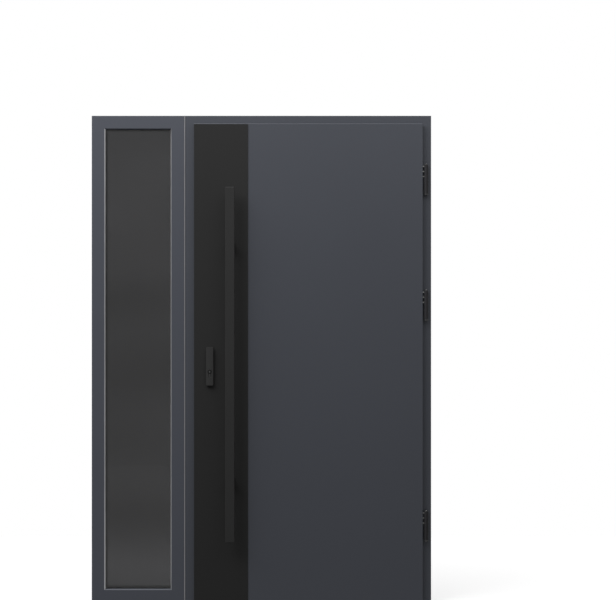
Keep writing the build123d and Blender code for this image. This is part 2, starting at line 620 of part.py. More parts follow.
def pieces():
    left_stile, top_rail, right_stile, bottom_rail = sidelight_ring(sidelight_section())
    half_spacing = PULL_LENGTH / 2 - POST_FROM_END
    nodes = {
        "hinge_jamb": hinge_jamb(),
        "lock_jamb": lock_jamb(),
        "frame_head": frame_head(),
        "threshold": threshold(),
        "frame_seals": frame_seals(),
        "strike_plate": strike_plate(),
        "coupling_strip": coupling_strip(),
        "sidelight_left_stile": left_stile,
        "sidelight_top_rail": top_rail,
        "sidelight_right_stile": right_stile,
        "sidelight_bottom_rail": bottom_rail,
        "outer_gaskets": Compound(sidelight_ring(gasket_section(LIP_BACK), END_CLEARANCE)),
        "outer_pane": pane(OUTER_PANE_Y),
        "glass_spacer": glass_spacer(),
        "inner_pane": pane(INNER_PANE_Y),
        "inner_gaskets": Compound(sidelight_ring(gasket_section(INNER_GASKET_Y), END_CLEARANCE)),
        "leaf_outer_skin": leaf_outer_skin(),
        "leaf_inner_skin": leaf_inner_skin(),
        "leaf_core": leaf_core(),
        "leaf_edge_strips": leaf_edge_strips(),
        "leaf_seals": leaf_seals(),
        "accent_panel": accent_panel(),
        "pull_bar": pull_bar(),
        "pull_post_upper": pull_post(PULL_CENTRE_HEIGHT + half_spacing),
        "pull_post_lower": pull_post(PULL_CENTRE_HEIGHT - half_spacing),
        "outer_escutcheon": outer_escutcheon(),
        "lock_cylinder": lock_cylinder(),
        "inside_plate": inside_plate(),
        "inside_lever": inside_lever(),
        "lock_faceplate": lock_faceplate(),
        "lock_bolts": lock_bolts(),
    }
    beads = {"outer": outer_bead_section(), "inner": inner_bead_section()}
    for face, section in beads.items():
        for side, bead in zip(("left", "top", "right", "bottom"), sidelight_ring(section)):
            nodes[f"{face}_bead_{side}"] = bead
    for place, height in HINGE_HEIGHTS.items():
        nodes[f"{place}_hinge_frame_half"] = hinge_frame_half(height)
        nodes[f"{place}_hinge_leaf_half"] = hinge_leaf_half(height)
    return nodes


os.makedirs("parts", exist_ok=True)
for node, shape in pieces().items():
    export_step(shape, f"parts/{node}.step")
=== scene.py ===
"""Finishes, small hardware and studio for an exterior door with a sidelight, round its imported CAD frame.

Metres, in the CAD frame: +X runs to the hinge side as seen from outdoors, +Y into the building and +Z up.
"""
import json
import math
from typing import NamedTuple

import bmesh
import bpy
from bpy.props import FloatProperty, FloatVectorProperty, IntProperty, PointerProperty
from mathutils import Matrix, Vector


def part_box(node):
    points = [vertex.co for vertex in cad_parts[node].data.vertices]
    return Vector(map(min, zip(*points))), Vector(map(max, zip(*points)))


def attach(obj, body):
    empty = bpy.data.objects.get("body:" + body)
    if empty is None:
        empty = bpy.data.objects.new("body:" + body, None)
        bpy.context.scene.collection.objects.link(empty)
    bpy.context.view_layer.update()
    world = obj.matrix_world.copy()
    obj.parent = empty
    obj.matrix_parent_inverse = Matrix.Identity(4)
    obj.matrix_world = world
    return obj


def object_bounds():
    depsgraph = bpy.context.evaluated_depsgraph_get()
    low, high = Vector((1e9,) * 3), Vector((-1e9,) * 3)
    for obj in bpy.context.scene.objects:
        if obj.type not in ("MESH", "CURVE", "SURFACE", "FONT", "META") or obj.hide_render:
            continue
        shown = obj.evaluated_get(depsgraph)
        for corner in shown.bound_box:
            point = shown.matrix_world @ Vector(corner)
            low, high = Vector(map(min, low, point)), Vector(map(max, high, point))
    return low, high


bl_info = {
    "name": "Exterior Door With Sidelight",
    "version": (1, 0, 0),
    "blender": (4, 5, 0),
    "location": "3D View > Sidebar > Door",
    "description": "Coats, glass, small hardware and studio for an exterior door with a sidelight",
    "category": "Add Mesh",
}

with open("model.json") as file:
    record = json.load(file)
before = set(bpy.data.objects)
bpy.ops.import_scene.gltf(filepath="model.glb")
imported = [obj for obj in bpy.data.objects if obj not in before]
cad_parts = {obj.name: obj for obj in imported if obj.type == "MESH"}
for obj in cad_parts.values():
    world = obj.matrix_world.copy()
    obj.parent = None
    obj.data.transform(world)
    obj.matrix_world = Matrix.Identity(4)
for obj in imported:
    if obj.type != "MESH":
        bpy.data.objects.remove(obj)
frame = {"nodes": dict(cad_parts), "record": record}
CAD_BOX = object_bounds()

OUTDOORS, INDOORS = Vector((0, -1, 0)), Vector((0, 1, 0))
LEFT, RIGHT = Vector((-1, 0, 0)), Vector((1, 0, 0))
UP, DOWN = Vector((0, 0, 1)), Vector((0, 0, -1))
WHITE = (1, 1, 1, 1)

# Finer layers that a noise carries
SMOOTH, PLAIN, CLOUDED, BUSY = 1.0, 2.0, 3.0, 4.0

# Sockets of a Mix node that blends colours
MIX_FACTOR, MIX_FIRST, MIX_SECOND, MIX_RESULT = 0, 6, 7, 2

# Sides of the turned pieces, and of the hexagonal socket of a screw
PLUG_SIDES, COLLAR_SIDES, HEAD_SIDES, SOCKET_SIDES = 48, 64, 24, 6

# Finishes of the faces of a key plug
PLUG_BODY, PLUG_WORN, PLUG_KEYWAY = range(3)

# How far a screw's head draws in and its socket goes down, as shares of the head's height
HEAD_TAPER, SOCKET_DEPTH = 0.5, 0.8

# Seed for how far each screw is turned
TURN_SEED = 7


# Settings

def colour(name, description, default):
    """A setting for a colour."""
    return FloatVectorProperty(name=name, description=description, default=default, subtype="COLOR",
                               min=0, max=1)


def grey(name, description, level):
    """A setting for a colour that starts as a grey."""
    return colour(name, description, (level, level, level))


def share(name, description, default):
    """A setting for a share from 0 to 1."""
    return FloatProperty(name=name, description=description, default=default, subtype="FACTOR", min=0, max=1)


def number(name, description, default, least=0):
    """A setting for a plain number."""
    return FloatProperty(name=name, description=description, default=default, min=least)


def count(name, description, default, least):
    """A setting for a number of pieces."""
    return IntProperty(name=name, description=description, default=default, min=least)


def length(name, description, default):
    """A setting for a length in metres."""
    return FloatProperty(name=name, description=description, default=default, unit="LENGTH",
                         min=0, precision=4)


def power(name, description, default):
    """A setting for the power of a lamp in watts."""
    return FloatProperty(name=name, description=description, default=default, unit="POWER", min=0)


def position(name, description, default):
    """A setting for a point or a reach along the three axes, in metres."""
    return FloatVectorProperty(name=name, description=description, default=default, subtype="TRANSLATION")


class DoorCoats(bpy.types.PropertyGroup):
    """Powder coats of the frame, the leaf and the fittings."""

    frame_colour: colour("Door Frame", "Anthracite coat of the door frame", (0.040, 0.0435, 0.053))
    sidelight_colour: colour("Sidelight", "Lighter anthracite coat of the sidelight", (0.047, 0.051, 0.063))
    leaf_colour: colour("Leaf", "Anthracite coat of the leaf", (0.040, 0.0435, 0.053))
    accent_colour: grey("Accent Panel", "Black coat of the panel on the lock side", 0.0236)
    handle_colour: grey("Handle", "Black coat of the pull bar and its posts", 0.0285)
    plate_colour: grey("Escutcheon", "Black coat of the escutcheon", 0.034)
    hinge_colour: colour("Hinges", "Dark coat of the hinges", (0.026, 0.026, 0.028))
    roughness: share("Roughness", "How matt the coats are", 0.46)
    sheen: share("Sheen", "How far the roughness of a coat wanders", 0.12)
    paint_gloss: share("Paint Gloss", "Specular level of the anthracite coats", 0.22)
    black_gloss: share("Black Gloss", "Specular level of the black coats", 0.02)
    mottle: share("Mottle", "How far the tone of a coat wanders", 0.05)
    cloud_share: share("Cloud Share", "How much of the mottle is slow clouds, and not grains", 0.6)
    cloud_size: length("Cloud Size", "Size of the slow changes of tone", 0.35)
    grain_size: length("Grain Size", "Size of the grains of the coat", 0.0011)
    grain_height: length("Grain Height", "Height of the grains of the coat", 0.00006)


class DoorMetals(bpy.types.PropertyGroup):
    """Bare and plated metals, with lighter ones that paint highlights and dark ones that paint shade."""

    # Painted highlight: the upright beads get a lighter metal than the top and bottom beads, for the light
    # that catches their bevels.
    bead_highlight_colour: colour("Bead", "Satin metal of the upright beads", (0.36, 0.36, 0.37))
    # Painted highlight: the coupling strip gets a lighter metal for the bright line along the joint.
    coupling_highlight_colour: colour("Coupling", "Satin metal of the coupling strip", (0.16, 0.16, 0.168))
    threshold_colour: colour("Threshold", "Brushed metal of the threshold", (0.52, 0.52, 0.53))
    steel_colour: colour("Steel", "Satin steel of the lever and its plate", (0.46, 0.46, 0.45))
    # Lighter plating of the hinges' prongs, also used as painted highlight on their caps and near their feet.
    hinge_plating_and_highlight: grey("Hinge Plating And Highlight", "Dull plating of the hinges' prongs, caps and bands", 0.095)
    hinge_polish: share("Hinge Polish", "How much smoother the plating of the hinges is than their coat", 0.1)
    zinc_colour: colour("Zinc", "Plating of the lock's edge plates", (0.40, 0.40, 0.385))
    bolt_colour: colour("Bolts", "Bare steel of the latch and the bolt", (0.20, 0.20, 0.205))
    screw_colour: colour("Screws", "Dull plating of the screws", (0.21, 0.21, 0.20))
    # Painted shade: the cylinder's round part is near black for the shade of its recess and the gap round it.
    cylinder_shade_colour: grey("Cylinder", "Black nickel of the lock cylinder", 0.005)
    tail_colour: grey("Cylinder Tail", "Nickel of the tail of the cylinder", 0.034)
    # Painted shade: the plug is near black round its lighter middle, for the shade of the recess.
    plug_shade_colour: grey("Key Plug", "Dark nickel of the plug that takes the key", 0.008)
    worn_colour: grey("Worn Nickel", "Nickel that keys have worn bright round the slot", 0.07)
    # Painted shade: the inside of the key slot is near black for the shade in it.
    keyway_shade_colour: grey("Keyway", "Inside of the slot for the key", 0.004)
    keyway_mottle: share("Keyway Mottle", "How far the tone inside the slot wanders", 0.5)
    keyway_roughness: share("Keyway Roughness", "How matt the inside of the slot is", 0.7)
    keyway_sheen: share("Keyway Sheen", "How far the roughness inside the slot wanders", 0.2)
    # Metallic, gloss, roughness and grain of the dark cylinder and plug, whose darkness is painted shade.
    nickel_metal: share("Nickel Metal", "How metallic the dark nickel looks", 0.8)
    nickel_gloss: share("Nickel Gloss", "Specular level of the black nickel", 0.1)
    nickel_roughness: share("Nickel Roughness", "How matt the black nickel is", 0.475)
    nickel_sheen: share("Nickel Sheen", "How far the roughness of the black nickel wanders", 0.15)
    nickel_grain: length("Nickel Grain", "Size of the grains of the nickel", 0.0006)
    nickel_height: length("Nickel Height", "Height of the grains of the nickel", 0.00001)
    brush_width: length("Brush Width", "Width of a brushed line", 0.0006)
    brush_length: length("Brush Length", "Length of a brushed line", 0.06)
    brush_height: length("Brush Height", "Height of a brushed line", 0.00002)
    brush_cloud: length("Brush Cloud", "Size of the slow changes of tone on brushed metal", 0.2)
    brush_mottle: share("Brush Mottle", "How far the tone of brushed metal wanders", 0.18)
    brush_roughness: share("Brush Roughness", "How matt brushed metal is", 0.34)
    brush_sheen: share("Brush Sheen", "How far the roughness of brushed metal wanders", 0.16)
    lacquered: share("Lacquered", "How metallic the coupling strip looks under its lacquer", 0.5)


class DoorGlazing(bpy.types.PropertyGroup):
    """Glass, spacer, seals and what is inside the leaf."""

    tint: colour("Tint", "Colour that a pane lets through", (0.122, 0.122, 0.1255))
    index: number("Index", "Refractive index of the coated panes", 1.40, 1)
    roughness: share("Roughness", "How matt the panes are", 0.025)
    sheen: share("Sheen", "How far the roughness of the panes wanders", 0.03)
    # Painted reflection: the clouds in the tint stand in for faint uneven reflections over the panes.
    painted_reflection: share("Haze", "How far the tone of the glass wanders", 0.32)
    painted_reflection_contrast: number("Haze Contrast", "How clearly the clouds stand out", 2.3)
    painted_reflection_width: length("Haze Width", "Width of the faint clouds in the tint", 1.6)
    painted_reflection_height: length("Haze Height", "Height of the faint clouds in the tint", 0.40)
    painted_reflection_start: number("Haze Start", "Height in the pattern where it begins", 17.85)
    rubber_colour: colour("Rubber", "Seals and gaskets", (0.012, 0.012, 0.013))
    spacer_colour: colour("Spacer", "Spacer between the panes", (0.02, 0.02, 0.022))
    strip_colour: colour("Edge Strip", "Plastic strip between the sheets of the leaf", (0.03, 0.031, 0.034))
    foam_colour: colour("Foam", "Insulation inside the leaf", (0.72, 0.62, 0.38))
    foam_cell: length("Foam Cell", "Size of a cell of the foam", 0.0016)
    foam_height: length("Foam Height", "Height of a cell of the foam", 0.0004)
    foam_mottle: share("Foam Mottle", "How far the tone of the foam wanders", 0.2)
    foam_roughness: share("Foam Roughness", "How matt the foam is", 0.85)
    foam_sheen: share("Foam Sheen", "How far the roughness of the foam wanders", 0.1)


class DoorHardware(bpy.types.PropertyGroup):
    """Sizes of the screws, the hinges' plating and its painted highlights, the lock cylinder, its key plugs
    and the lever's collar.
    """

    screw_radius: length("Screw Radius", "Radius of the head of a plate screw", 0.0042)
    screw_height: length("Screw Height", "How far the head of a screw stands out", 0.0004)
    grub_radius: length("Grub Screw Radius", "Radius of a grub screw", 0.0026)
    socket_share: share("Socket", "Width of the hexagonal socket as a share of the head", 0.5)
    end_margin: length("End Margin", "From the end of a plate to its screw", 0.013)
    post_half: length("Post Half Width", "From the middle of a pull post to its side", 0.011)
    neck_margin: length("Neck Margin", "From the foot of the lever's neck to its grub screw", 0.00975)
    threshold_screws: count("Threshold Screws", "Screws along the threshold", 4, 2)
    threshold_margin: length("Threshold Margin", "From the end of the threshold to its first screw", 0.09)
    threshold_depth: length("Threshold Screw Depth", "From mid depth to the row of screws", 0.004)
    barrel_width: length("Hinge Barrel", "Width of a hinge's barrel", 0.017)
    cap_height: length("Hinge Cap", "Height of a hinge's cap", 0.004)
    # Painted highlights: the plating on a hinge's cap and in a band near its foot stands in for the
    # highlights on its ends.
    cap_highlight: share("Cap Highlight", "How much of the plating shows on a hinge's cap", 0.75)
    highlight_band_place: length("Hinge Band", "From the foot of a hinge to the middle of its plated band", 0.0035)
    highlight_band_half: length("Hinge Band Half Height", "Half the height of the plated band", 0.0008)
    highlight_band_plating: share("Highlight Band Plating", "How much of the plating shows in the band", 1.0)
    plug_radius: length("Plug Radius", "Radius of the plug that takes the key", 0.0064)
    plug_height: length("Plug Height", "How far the plug stands out of the cylinder", 0.0011)
    plug_bevel: length("Plug Bevel", "Bevel round the plug", 0.0004)
    worn_share: share("Worn Share", "Radius of the worn middle as a share of the plug", 0.5)
    keyway_width: length("Keyway Width", "Width of the slot for the key", 0.0010)
    keyway_height: length("Keyway Height", "Height of the slot for the key", 0.0046)
    keyway_floor: length("Keyway Floor", "From the foot of the plug to the bottom of the slot", 0.0002)
    cylinder_radius: length("Cylinder Radius", "Radius of the round part of the cylinder", 0.0085)
    cylinder_rim: length("Cylinder Rim", "Width of the bevel round the cylinder's ends", 0.0013)
    tail_width: length("Cylinder Tail", "Width of the tail below the round part of the cylinder", 0.010)
    collar_inner: length("Collar Inner Radius", "Inner radius of the collar round the lever", 0.0112)
    collar_outer: length("Collar Outer Radius", "Outer radius of the collar round the lever", 0.0150)
    collar_height: length("Collar Height", "How far the collar stands out of the plate", 0.0026)
    collar_bevel: length("Collar Bevel", "Bevel round the edges of the collar", 0.000867)


class DoorStudio(bpy.types.PropertyGroup):
    """Camera, lamps, floor and backdrop."""

    camera_place: position("Camera", "Place of the camera", (-0.001, -6.045, 1.293))
    lens: number("Lens", "Focal length in millimetres", 82.08, 1)
    side_place: position("Side Lamp", "Place of the lamp at the upper left", (-3.5, -2.1, 5.7))
    side_size: length("Side Lamp Size", "Side of the square lamp at the upper left", 4.4)
    side_power: power("Side Lamp Power", "Power of the lamp at the upper left", 362)
    rear_place: position("Rear Lamp", "Place of the lamp behind the door", (1.6, 3.0, 3.6))
    rear_size: length("Rear Lamp Size", "Side of the square lamp behind the door", 2.4)
    rear_power: power("Rear Lamp Power", "Power of the lamp behind the door", 90)
    top_place: position("Top Lamp", "Place of the wide lamp over the front", (-0.6, -1.35, 3.2))
    top_width: length("Top Lamp Width", "Width of the wide lamp", 7.0)
    top_depth: length("Top Lamp Depth", "Depth of the wide lamp", 2.6)
    top_power: power("Top Lamp Power", "Power of the wide lamp", 132)
    fill: share("Fill", "How much the backdrop lights the door", 0.24)
    floor_colour: grey("Floor", "Floor as it throws light back at the door", 0.10)
    floor_glow: share("Floor Glow", "How white the floor looks without lamps", 0.94)
    floor_dust: length("Floor Dust", "Size of the faint changes of tone on the floor", 0.5)
    floor_mottle: share("Floor Mottle", "How far the tone of the floor wanders", 0.02)
    floor_front: length("Floor Front", "How far the floor runs in front of the door", 5.0)
    floor_back: length("Floor Back", "How far the floor runs behind the door", 1.6)
    floor_side: length("Floor Side", "How far the floor runs to both sides", 4.0)
    shaded_colour: grey("Shaded Floor", "Pale floor that shows the door's shadow", 0.35)
    shaded_glow: share("Shaded Glow", "How white the shaded floor looks without lamps", 0.55)
    shadow_centre: position("Shadow Centre", "Where the floor shows the shadow most", (-0.2, -0.4, 0))
    shadow_reach: position("Shadow Reach", "How far from there the shadow fades out", (2.6, 2.0, 1.0))


# Node trees

class Signal:
    """One output of a node that works in Python expressions: each operator adds its Math node."""

    def __init__(self, tree, socket):
        self.tree = tree
        self.socket = socket

    def node(self, kind, settings=None, sockets=None, output=0):
        """A new node of this tree, with its settings first and then the values or links of its sockets."""
        made = self.tree.nodes.new(kind)
        for name, value in (settings or {}).items():
            setattr(made, name, value)
        for key, value in (sockets or {}).items():
            if isinstance(value, Signal):
                self.tree.links.new(value.socket, made.inputs[key])
            else:
                made.inputs[key].default_value = value
        return Signal(self.tree, made.outputs[output]) if made.outputs else None

    def math(self, operation, *values):
        """A Math node on values or signals."""
        return self.node("ShaderNodeMath", {"operation": operation}, dict(enumerate(values)))

    def __add__(self, other):
        return self.math("ADD", self, other)

    def __radd__(self, other):
        return self.math("ADD", other, self)

    def __sub__(self, other):
        return self.math("SUBTRACT", self, other)

    def __rsub__(self, other):
        return self.math("SUBTRACT", other, self)

    def __mul__(self, other):
        return self.math("MULTIPLY", self, other)

    def __rmul__(self, other):
        return self.math("MULTIPLY", other, self)

    def __lt__(self, other):
        return self.math("LESS_THAN", self, other)

    def __gt__(self, other):
        return self.math("GREATER_THAN", self, other)

    def __abs__(self):
        return self.math("ABSOLUTE", self)


def new_material(name):
    """A material with an empty tree, and its Object coordinates."""
    material = bpy.data.materials.new(name)
    material.use_nodes = True
    material.node_tree.nodes.clear()
    coordinates = material.node_tree.nodes.new("ShaderNodeTexCoord")
    return material, Signal(material.node_tree, coordinates.outputs["Object"])


def surface(place, sockets):
    """The Principled shader of a material, joined to its output."""
    shader = place.node("ShaderNodeBsdfPrincipled", sockets=sockets)
    place.node("ShaderNodeOutputMaterial", sockets={"Surface": shader})


def along(place, axis):
    """One of the three coordinates."""
    return place.node("ShaderNodeSeparateXYZ", sockets={"Vector": place}, output=axis)


def noise(place, size=1.0, detail=PLAIN):
    """Noise with features of a size in metres, from 0 to 1."""
    return place.node("ShaderNodeTexNoise", sockets={"Vector": place, "Scale": 1 / size, "Detail": detail})


def stretched(place, lengths, start=(0, 0, 0)):
    """Coordinates in which a pattern of size one gets these lengths along the axes, from a start in it."""
    scale = [1 / size for size in lengths]
    return place.node("ShaderNodeMapping", {"vector_type": "POINT"},
                      {"Vector": place, "Scale": scale, "Location": start})


def around(centre, spread, factor):
    """A value that wanders round a centre, over a spread, as a factor runs from 0 to 1."""
    return centre - spread / 2 + spread * factor


def shade(tone, factor=1.0):
    """A colour made lighter or darker, with full alpha."""
    return (*(min(1.0, part * factor) for part in tone), 1.0)


def blend(factor, first, second):
    """A colour between two others."""
    return factor.node("ShaderNodeMix", {"data_type": "RGBA"},
                       {MIX_FACTOR: factor, MIX_FIRST: first, MIX_SECOND: second}, MIX_RESULT)


def mottled(factor, tone, spread):
    """A colour that wanders round a tone by a share of it."""
    return blend(factor, shade(tone, 1 - spread), shade(tone, 1 + spread))


def bump(height, distance):
    """A normal that follows a height, from 0 to 1, over a distance in metres."""
    return height.node("ShaderNodeBump", sockets={"Height": height, "Distance": distance})


# Finishes

class Texture(NamedTuple):
    """How a finish varies: clouds of tone and sheen, and a grain that stands out. Sizes are in metres."""

    cloud_size: float
    cloud_detail: float
    mottle: float
    roughness: float
    sheen: float
    grain_size: float
    grain_height: float
    metallic: float = 0.0
    gloss: float = 0.5


ZINC = Texture(cloud_size=0.006, cloud_detail=CLOUDED, mottle=0.22, roughness=0.37, sheen=0.22,
               grain_size=0.0005, grain_height=0.00001, metallic=1.0)
RUBBER = Texture(cloud_size=0.03, cloud_detail=BUSY, mottle=0.35, roughness=0.82, sheen=0.2,
                 grain_size=0.0008, grain_height=0.00004, gloss=0.3)
PLASTIC = Texture(cloud_size=0.05, cloud_detail=PLAIN, mottle=0.15, roughness=0.575, sheen=0.15,
                  grain_size=0.0009, grain_height=0.00003)


def grained(name, tone, texture):
    """Plating, rubber or plastic: patches of tone and sheen over a fine grain."""
    material, place = new_material(name)
    cloud, grain = noise(place, texture.cloud_size, texture.cloud_detail), noise(place, texture.grain_size)
    surface(place, {"Base Color": mottled(cloud, tone, texture.mottle),
                    "Roughness": around(texture.roughness, texture.sheen, cloud),
                    "Metallic": texture.metallic,
                    "Specular IOR Level": texture.gloss,
                    "Normal": bump(grain, texture.grain_height)})
    return material


def coat_patterns(place, coats):
    """The slow clouds of a coat, and its grains."""
    return noise(place, coats.cloud_size, CLOUDED), noise(place, coats.grain_size, SMOOTH)


def powder_coat(name, tone, gloss, coats):
    """A baked coat: fine grains, and a tone and sheen that wander slowly."""
    material, place = new_material(name)
    cloud, grain = coat_patterns(place, coats)
    pattern = coats.cloud_share * cloud + (1 - coats.cloud_share) * grain
    surface(place, {"Base Color": mottled(pattern, tone, coats.mottle),
                    "Roughness": around(coats.roughness, coats.sheen, cloud),
                    "Specular IOR Level": gloss,
                    "Normal": bump(grain, coats.grain_height)})
    return material


def prongs_and_highlight_cap(place, node, hardware):
    """Where a hinge's leaf half gets the lighter plating: on its prongs, and less so on its cap as a painted
    highlight.
    """
    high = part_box(node)[1]
    prongs = along(place, "X") < high.x - hardware.barrel_width
    # The plating on the cap is a painted highlight.
    cap = along(place, "Z") > high.z - hardware.cap_height
    return place.math("MAXIMUM", prongs, hardware.cap_highlight * cap)


def foot_highlight_band(place, node, hardware):
    """Where a hinge's frame half gets the lighter plating: a band near its foot, as a painted highlight."""
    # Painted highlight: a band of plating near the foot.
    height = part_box(node)[0].z + hardware.highlight_band_place
    return hardware.highlight_band_plating * place.math("COMPARE", along(place, "Z"), height, hardware.highlight_band_half)


def hinge_coat(node, plating_and_highlight_mask, coats, hardware, metals):
    """A dark coat that leaves a hinge's prongs plated, with painted highlights in plating on its cap and near
    its foot.
    """
    material, place = new_material(f"{node} coat")
    cloud, grain = coat_patterns(place, coats)
    mask = plating_and_highlight_mask(place, node, hardware)
    coat = mottled(grain, coats.hinge_colour, coats.mottle)
    plating = mottled(cloud, metals.hinge_plating_and_highlight, coats.mottle)
    surface(place, {"Base Color": blend(mask, coat, plating),
                    "Roughness": coats.roughness - metals.hinge_polish * mask,
                    "Metallic": mask,
                    "Specular IOR Level": coats.black_gloss,
                    "Normal": bump(grain, coats.grain_height)})
    return material


def brushed_metal(name, tone, axis, metals, metallic=1.0):
    """Metal brushed along an axis, bare or under a lacquer."""
    material, place = new_material(name)
    lengths = [metals.brush_length if way == axis else metals.brush_width for way in "XYZ"]
    lines, cloud = noise(stretched(place, lengths), detail=BUSY), noise(place, metals.brush_cloud)
    surface(place, {"Base Color": mottled(0.5 * (lines + cloud), tone, metals.brush_mottle),
                    "Roughness": around(metals.brush_roughness, metals.brush_sheen, lines),
                    "Metallic": metallic,
                    "Normal": bump(lines, metals.brush_height)})
    return material


def tinted_glass(name, glazing):
    """Dark glass whose tint wanders in faint clouds, a painted reflection."""
    material, place = new_material(name)
    # Painted reflection: clouds that lighten and darken the tint.
    lengths = (glazing.painted_reflection_width, glazing.painted_reflection_width, glazing.painted_reflection_height)
    painted_reflection = noise(stretched(place, lengths, (0, 0, glazing.painted_reflection_start)), detail=SMOOTH)
    cloud = around(0.5, glazing.painted_reflection_contrast, painted_reflection)
    surface(place, {"Base Color": mottled(cloud, glazing.tint, glazing.painted_reflection),
                    "Roughness": around(glazing.roughness, glazing.sheen, painted_reflection),
                    "Transmission Weight": 1.0,
                    "IOR": glazing.index})
    return material


def cylinder_painted_shade(name, metals, hardware):
    """Painted shade: the cylinder is near black for the shade of its recess and the gap round it, and keeps a
    lighter tone on the tail of its profile inside its bevel.
    """
    material, place = new_material(name)
    aside = abs(along(place, "X") - middle("lock_cylinder").x)
    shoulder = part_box("lock_cylinder")[1].z - 2 * hardware.cylinder_radius
    tail = (aside < hardware.tail_width / 2 - hardware.cylinder_rim) * (along(place, "Z") < shoulder)
    grain = noise(place, metals.nickel_grain)
    # Painted shade on the round part; the tail keeps its own tone.
    surface(place, {"Base Color": blend(tail, shade(metals.cylinder_shade_colour), shade(metals.tail_colour)),
                    "Roughness": around(metals.nickel_roughness, metals.nickel_sheen, grain),
                    "Metallic": metals.nickel_metal,
                    "Specular IOR Level": metals.nickel_gloss,
                    "Normal": bump(grain, metals.nickel_height)})
    return material


def keyway_painted_shade(name, metals):
    """The inside of the key slot, near black: painted shade in the slot."""
    material, place = new_material(name)
    grain = noise(place, metals.nickel_grain)
    # Painted shade inside the slot.
    surface(place, {"Base Color": mottled(grain, metals.keyway_shade_colour, metals.keyway_mottle),
                    "Roughness": around(metals.keyway_roughness, metals.keyway_sheen, grain)})
    return material


def rigid_foam(name, glazing):
    """Foam with closed cells, smoother at their edges."""
    material, place = new_material(name)
    cells = place.node("ShaderNodeTexVoronoi", {"feature": "F1"},
                       {"Vector": place, "Scale": 1 / glazing.foam_cell}, "Distance")
    surface(place, {"Base Color": mottled(cells, glazing.foam_colour, glazing.foam_mottle),
                    "Roughness": around(glazing.foam_roughness, -glazing.foam_sheen, cells),
                    "Normal": bump(cells, glazing.foam_height)})
    return material


def finish_node(node, material):
    """Gives a finish to one CAD node."""
    for holder in frame["nodes"][node].material_slots:
        holder.material = material


def finish_slot(slot, material):
    """Gives a finish to every CAD node that the record puts in a material slot."""
    for part in frame["record"]["subparts"]:
        if part["material_slot"] == slot:
            finish_node(part["node"], material)


# Small hardware

def middle(node):
    """The middle of a CAD node's box."""
    low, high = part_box(node)
    return (low + high) / 2


def add_piece(name, mesh, body):
    """Adds an object for a finished mesh, riding on a CAD body."""
    piece = bpy.data.objects.new(name, mesh)
    bpy.context.scene.collection.objects.link(piece)
    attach(piece, body)


def ring_points(radius, sides):
    """Points round a circle, half a step off its right side."""
    turns = [2 * math.pi * (step + 0.5) / sides for step in range(sides)]
    return [(radius * math.cos(turn), radius * math.sin(turn)) for turn in turns]


def slot_points(width, height, sides):
    """Points round the two ends of an upright slot."""
    straight = (height - width) / 2
    return [(u, v + math.copysign(straight, v)) for u, v in ring_points(width / 2, sides)]


def face_axes(outward):
    """Axes of a drawing on a face that looks outward: to the right, up and out."""
    return UP.cross(outward), UP, outward


def loop(shell, centre, axes, points, lift):
    """Vertices of a drawing's points, lifted off its face."""
    across, up, out = axes
    return [shell.verts.new(centre + across * u + up * v + out * lift) for u, v in points]


def skin(shell, lower, upper, finish=0):
    """A band of quads between two loops of the same length."""
    for index in range(len(lower)):
        after = (index + 1) % len(lower)
        shell.faces.new((lower[index], lower[after], upper[after], upper[index])).material_index = finish


def solid_mesh(name, shell, materials):
    """A mesh from a closed shell, with its faces turned outwards."""
    bmesh.ops.recalc_face_normals(shell, faces=shell.faces)
    mesh = bpy.data.meshes.new(name)
    shell.to_mesh(mesh)
    shell.free()
    for material in materials:
        mesh.materials.append(material)
    return mesh


def key_plug(name, centre, outward, hardware, materials):
    """The round plug of the cylinder, with a bevelled rim and a slot for the key."""
    radius, height, bevel = hardware.plug_radius, hardware.plug_height, hardware.plug_bevel
    outline = ((radius, 0), (radius, height - bevel), (radius - bevel, height),
               (radius * hardware.worn_share, height))
    keyway = slot_points(hardware.keyway_width, hardware.keyway_height, PLUG_SIDES)
    axes = face_axes(outward)
    shell = bmesh.new()
    foot, shoulder, rim, worn = (loop(shell, centre, axes, ring_points(size, PLUG_SIDES), lift)
                                 for size, lift in outline)
    lip = loop(shell, centre, axes, keyway, height)
    floor = loop(shell, centre, axes, keyway, hardware.keyway_floor)
    shell.faces.new(reversed(foot)).material_index = PLUG_BODY
    skin(shell, foot, shoulder, PLUG_BODY)
    skin(shell, shoulder, rim, PLUG_BODY)
    skin(shell, rim, worn, PLUG_BODY)
    skin(shell, worn, lip, PLUG_WORN)
    skin(shell, lip, floor, PLUG_KEYWAY)
    shell.faces.new(floor).material_index = PLUG_KEYWAY
    return solid_mesh(name, shell, materials)


def collar(name, centre, outward, hardware, material):
    """A turned ring round the neck of the lever."""
    inner, outer = hardware.collar_inner, hardware.collar_outer
    height, bevel = hardware.collar_height, hardware.collar_bevel
    outline = ((inner, 0), (outer, 0), (outer, height - bevel), (outer - bevel, height),
               (inner + bevel, height), (inner, height - bevel))
    axes = face_axes(outward)
    shell = bmesh.new()
    loops = [loop(shell, centre, axes, ring_points(radius, COLLAR_SIDES), lift) for radius, lift in outline]
    for index, lower in enumerate(loops):
        skin(shell, lower, loops[(index + 1) % len(loops)])
    return solid_mesh(name, shell, [material])


